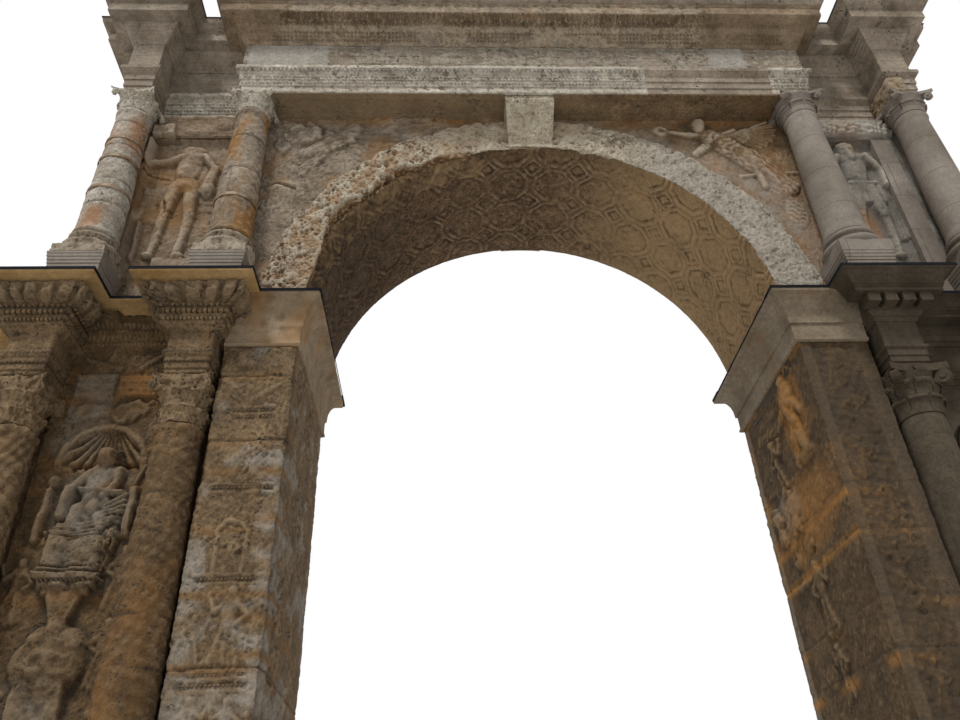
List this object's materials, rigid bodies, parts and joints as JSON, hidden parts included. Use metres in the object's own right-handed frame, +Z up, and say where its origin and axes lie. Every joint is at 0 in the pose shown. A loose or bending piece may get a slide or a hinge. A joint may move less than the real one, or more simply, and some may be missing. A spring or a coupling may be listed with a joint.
{
  "type": "triumphal arch",
  "caption": "Limestone triumphal arch: vaulted passage between solid piers, two storeys of columns on each face, broken-out entablatures, worn carved panels.",
  "frame": {"origin": "on the ground, in the middle of the passage and of the depth", "axes": "+X along the facade to the right, +Y through the passage to the back, +Z up"},
  "size_m": [12.47, 3.765, 12.466],
  "materials": {
    "weathered_stone": "pitted ochre-brown limestone",
    "restored_stone": "smooth grey-beige limestone",
    "rough_stone": "eroded pale limestone",
    "golden_stone": "smooth golden limestone",
    "vault_stone": "dark brown carved limestone",
    "sheet_metal": "dark folded sheet",
    "band_iron": "weathered iron bands"
  },
  "bodies": {
    "root": {"left_podium": "weathered_stone", "right_podium": "restored_stone", "left_pier": "weathered_stone", "right_pier": "restored_stone", "left_pilasters": "weathered_stone", "right_pilasters": "restored_stone", "front_lower_bases": "weathered_stone", "front_lower_shafts": "weathered_stone", "front_lower_capitals": "weathered_stone", "back_lower_bases": "restored_stone", "back_lower_shafts": "restored_stone", "back_lower_capitals": "restored_stone", "left_lower_architrave": "weathered_stone", "right_lower_architrave": "restored_stone", "left_lower_frieze": "weathered_stone", "right_lower_frieze": "restored_stone", "left_impost": "weathered_stone", "right_impost": "restored_stone", "left_lower_cornice": "golden_stone", "right_lower_cornice": "restored_stone", "ledge_flashings": "sheet_metal", "left_spandrels": "weathered_stone", "right_spandrels": "restored_stone", "left_bay_wall": "weathered_stone", "right_bay_wall": "restored_stone", "front_archivolt": "rough_stone", "vault": "vault_stone", "back_archivolt": "rough_stone", "front_keystone": "rough_stone", "back_keystone": "rough_stone", "front_upper_pedestals": "restored_stone", "front_upper_bases": "restored_stone", "front_upper_shafts": "weathered_stone", "front_upper_capitals": "restored_stone", "back_upper_pedestals": "restored_stone", "back_upper_bases": "restored_stone", "back_upper_shafts": "restored_stone", "back_upper_capitals": "restored_stone", "upper_architrave": "restored_stone", "upper_frieze": "weathered_stone", "upper_cornice": "restored_stone", "top_sheet": "sheet_metal", "shaft_bands": "band_iron", "niche_figures": "weathered_stone", "left_bay_figure": "weathered_stone", "right_bay_trophy": "restored_stone", "spandrel_figures": "weathered_stone"}
  },
  "joints": []
}
